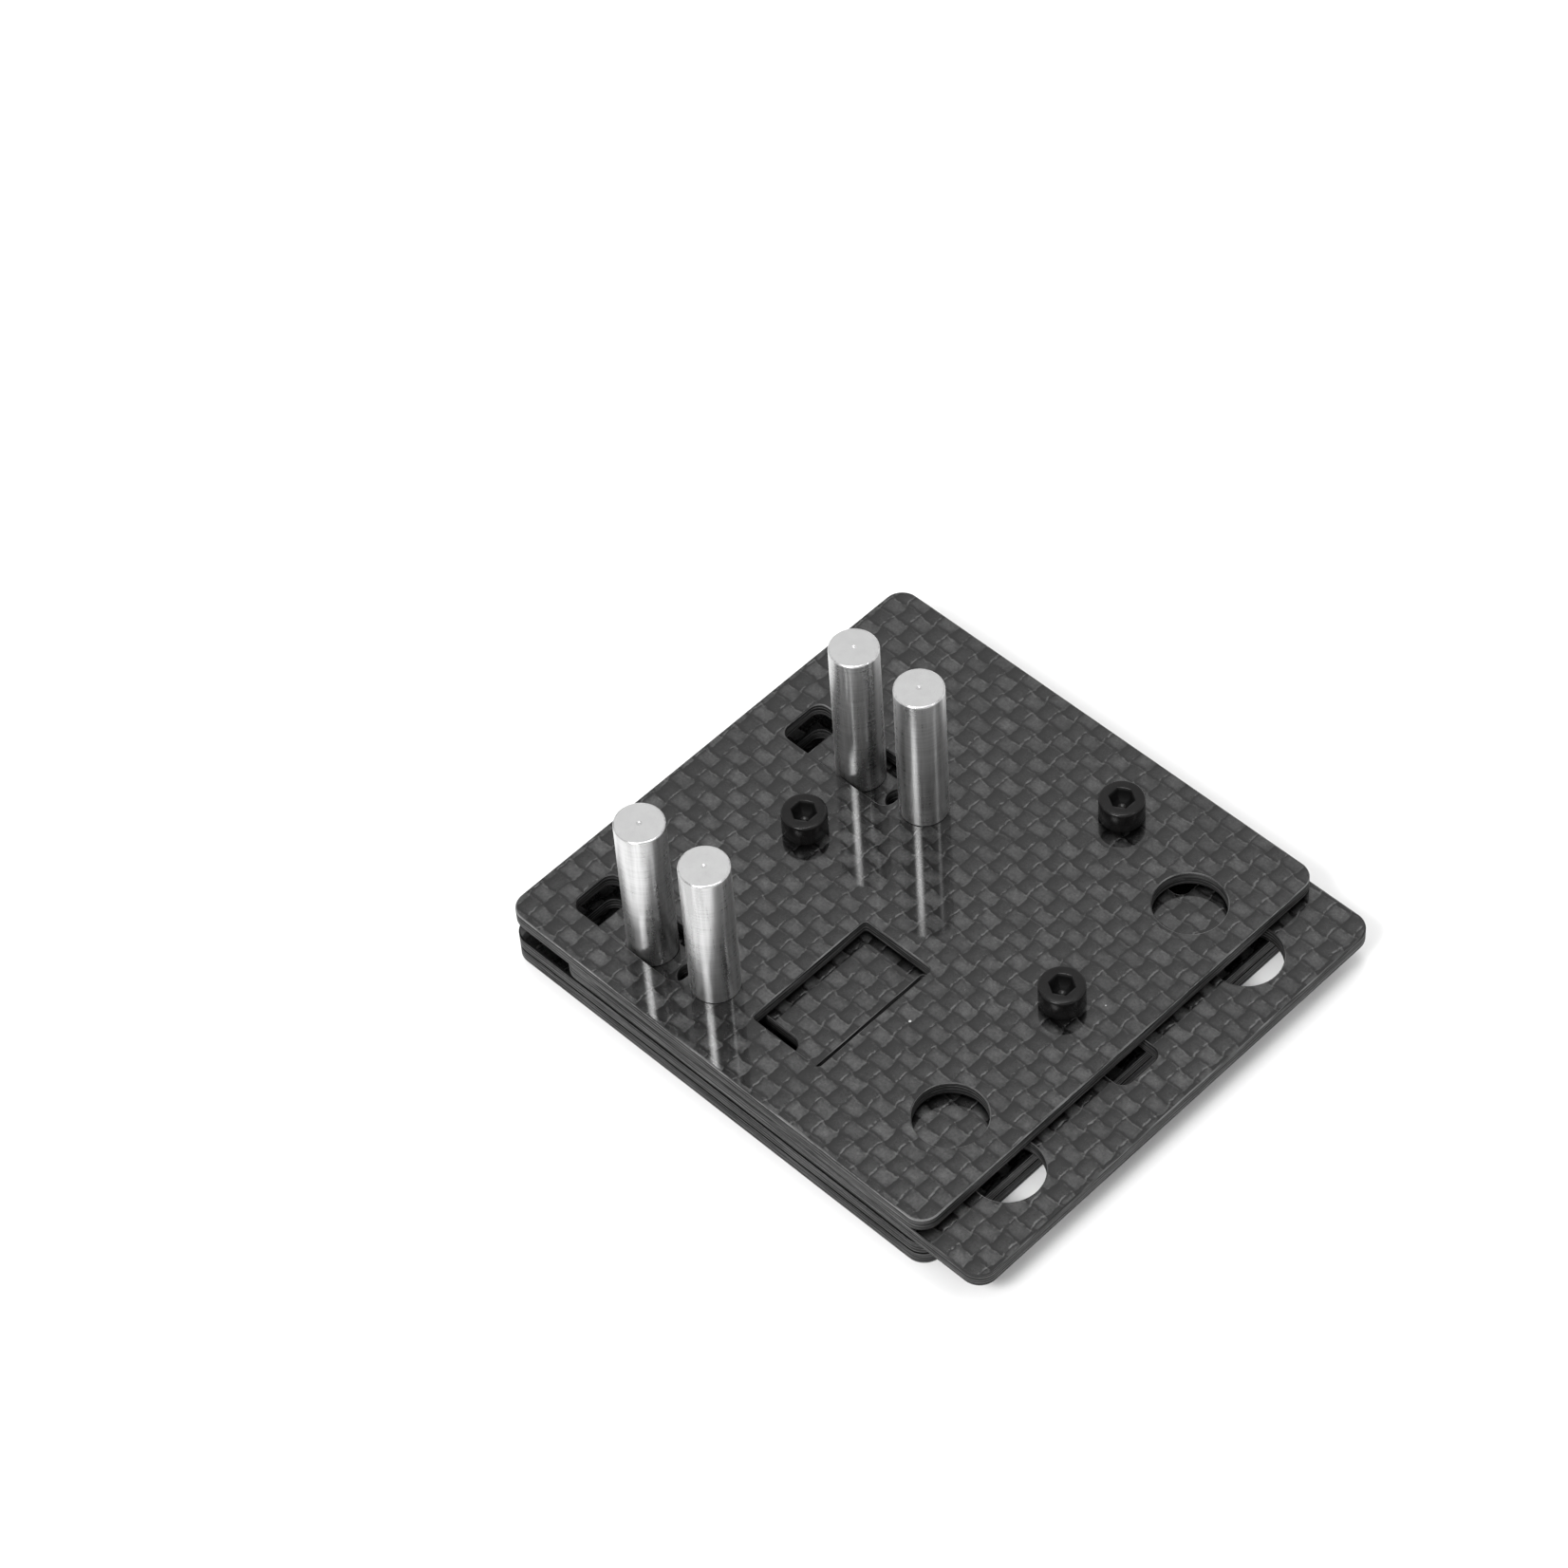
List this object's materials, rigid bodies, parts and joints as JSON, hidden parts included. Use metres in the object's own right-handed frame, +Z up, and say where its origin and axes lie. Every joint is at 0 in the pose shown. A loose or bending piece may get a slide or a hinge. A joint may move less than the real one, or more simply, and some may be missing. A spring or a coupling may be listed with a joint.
{
  "type": "soldering stand with sliding jaws",
  "caption": "Square stack of carbon-fibre plates with a sliding plate whose round posts close on fixed posts to hold a wire or connector for soldering.",
  "frame": {"origin": "centre of the base plate's underside, which is the face the stand rests on", "axes": "+Z up, +X the way the slide plate moves to close the jaws, +Y across the slide, towards the right-hand pair of posts"},
  "size_m": [0.0745, 0.066, 0.0298],
  "materials": {
    "carbon_base": "glossy carbon-fibre laminate",
    "carbon_middle": "glossy carbon-fibre laminate",
    "carbon_slide": "glossy carbon-fibre laminate",
    "carbon_top": "glossy carbon-fibre laminate",
    "post": "bright turned",
    "spacer": "satin",
    "screw": "black oxide, satin",
    "nut": "plain steel"
  },
  "bodies": {
    "stand": {"base_plate": "carbon_base", "middle_plate": "carbon_middle", "top_plate": "carbon_top", "fixed_post_left": "post", "fixed_post_right": "post", "cap_screw_rear": "screw", "cap_screw_right": "screw", "cap_screw_front": "screw", "spacer_rear": "spacer", "spacer_right": "spacer", "spacer_front": "spacer", "nut_rear": "nut", "nut_right": "nut", "nut_front": "nut", "post_screw_left": "screw", "post_screw_right": "screw"},
    "slider": {"slide_plate": "carbon_slide", "sliding_post_left": "post", "sliding_post_right": "post", "slider_screw_left": "screw", "slider_screw_right": "screw"}
  },
  "joints": [
    {"name": "jaw_slide", "type": "slide", "parent": "stand", "child": "slider", "axis": [1, 0, 0], "range_m": [-0.0068, 0.0039]}
  ]
}
